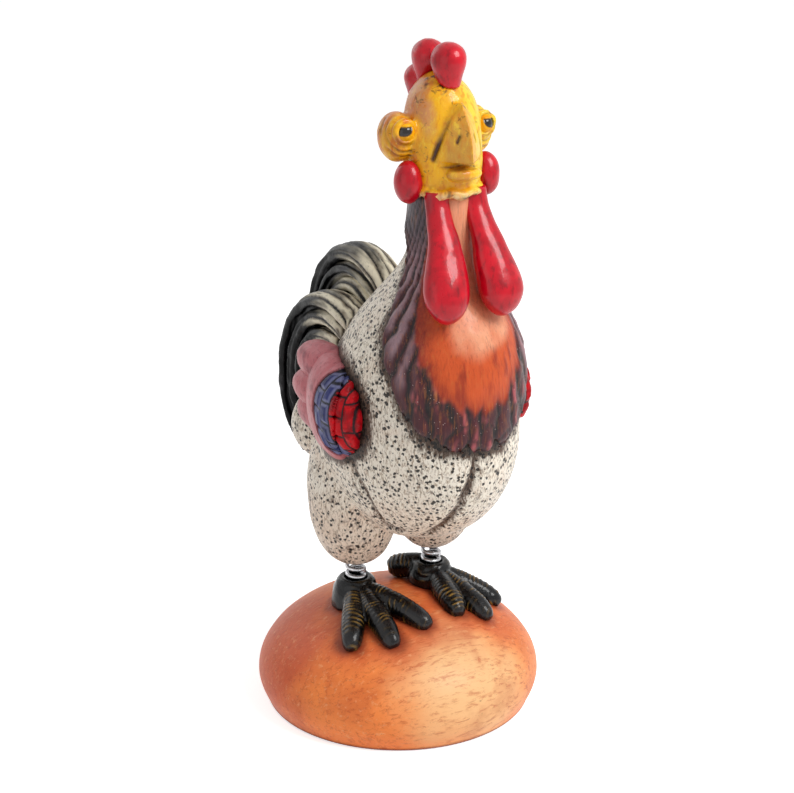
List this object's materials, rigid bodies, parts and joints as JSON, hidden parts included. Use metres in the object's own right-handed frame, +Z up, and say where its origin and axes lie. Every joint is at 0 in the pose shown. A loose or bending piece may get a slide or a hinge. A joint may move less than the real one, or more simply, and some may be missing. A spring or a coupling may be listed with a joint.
{
  "type": "wobbling rooster figure",
  "caption": "Painted rooster figure that nods and sways on two coil-spring legs above black feet and a domed base.",
  "frame": {"origin": "centre of the base's flat underside", "axes": "+Z up, the rooster looks along -Y, its right side is -X"},
  "size_m": [0.109, 0.1299, 0.2594],
  "materials": {
    "base_paint": "satin",
    "foot_paint": "gloss",
    "spring_steel": "polished",
    "body_paint": "satin",
    "cape_paint": "gloss",
    "face_paint": "satin",
    "beak_paint": "satin",
    "eye_paint": "gloss",
    "comb_paint": "gloss",
    "wing_red_paint": "gloss",
    "wing_blue_paint": "gloss",
    "wing_pink_paint": "gloss",
    "tail_paint": "gloss"
  },
  "bodies": {
    "base": {"base_dome": "base_paint", "right_foot": "foot_paint", "left_foot": "foot_paint"},
    "right_spring": {"right_leg_spring": "spring_steel"},
    "left_spring": {"left_leg_spring": "spring_steel"},
    "rooster": {"centre_tail_feather_1": "tail_paint", "centre_tail_feather_2": "tail_paint", "centre_tail_feather_3": "tail_paint", "comb_front_lobe": "comb_paint", "comb_middle_lobe": "comb_paint", "comb_rear_lobe": "comb_paint", "hackle_cape": "cape_paint", "head": "face_paint", "left_ear_lobe": "comb_paint", "left_eye_mound": "face_paint", "left_eyeball": "eye_paint", "left_eyelid": "face_paint", "left_tail_feather_1": "tail_paint", "left_tail_feather_2": "tail_paint", "left_tail_feather_3": "tail_paint", "left_tail_feather_4": "tail_paint", "left_thigh": "body_paint", "left_wattle": "comb_paint", "left_wing_inner_coverts": "wing_blue_paint", "left_wing_lower_flight_feather": "wing_pink_paint", "left_wing_middle_flight_feather": "wing_pink_paint", "left_wing_outer_coverts": "wing_blue_paint", "left_wing_red_scales": "wing_red_paint", "left_wing_upper_flight_feather": "wing_pink_paint", "lower_beak": "beak_paint", "right_ear_lobe": "comb_paint", "right_eye_mound": "face_paint", "right_eyeball": "eye_paint", "right_eyelid": "face_paint", "right_tail_feather_1": "tail_paint", "right_tail_feather_2": "tail_paint", "right_tail_feather_3": "tail_paint", "right_tail_feather_4": "tail_paint", "right_thigh": "body_paint", "right_wattle": "comb_paint", "right_wing_inner_coverts": "wing_blue_paint", "right_wing_lower_flight_feather": "wing_pink_paint", "right_wing_middle_flight_feather": "wing_pink_paint", "right_wing_outer_coverts": "wing_blue_paint", "right_wing_red_scales": "wing_red_paint", "right_wing_upper_flight_feather": "wing_pink_paint", "rump": "body_paint", "tail_core": "body_paint", "torso": "body_paint", "upper_beak": "beak_paint"}
  },
  "joints": [
    {"name": "nod", "type": "hinge", "parent": "base", "child": "right_spring", "pos_m": [0, 0.0035, 0.0543], "axis": [1, 0, 0], "range_deg": [-8, 10], "stiffness_Nm_per_rad": 1.9, "springref_deg": -0.54, "deforming": ["right_leg_spring", "left_leg_spring"]},
    {"name": "sway", "type": "hinge", "parent": "right_spring", "child": "left_spring", "pos_m": [0, 0.0035, 0.0543], "axis": [0, 1, 0], "range_deg": [-4, 4], "stiffness_Nm_per_rad": 12, "deforming": ["right_leg_spring", "left_leg_spring"]},
    {"name": "twist", "type": "hinge", "parent": "left_spring", "child": "rooster", "pos_m": [0, 0.0035, 0.0543], "axis": [0, 0, 1], "range_deg": [-6, 6], "stiffness_Nm_per_rad": 8, "deforming": ["right_leg_spring", "left_leg_spring"]}
  ]
}
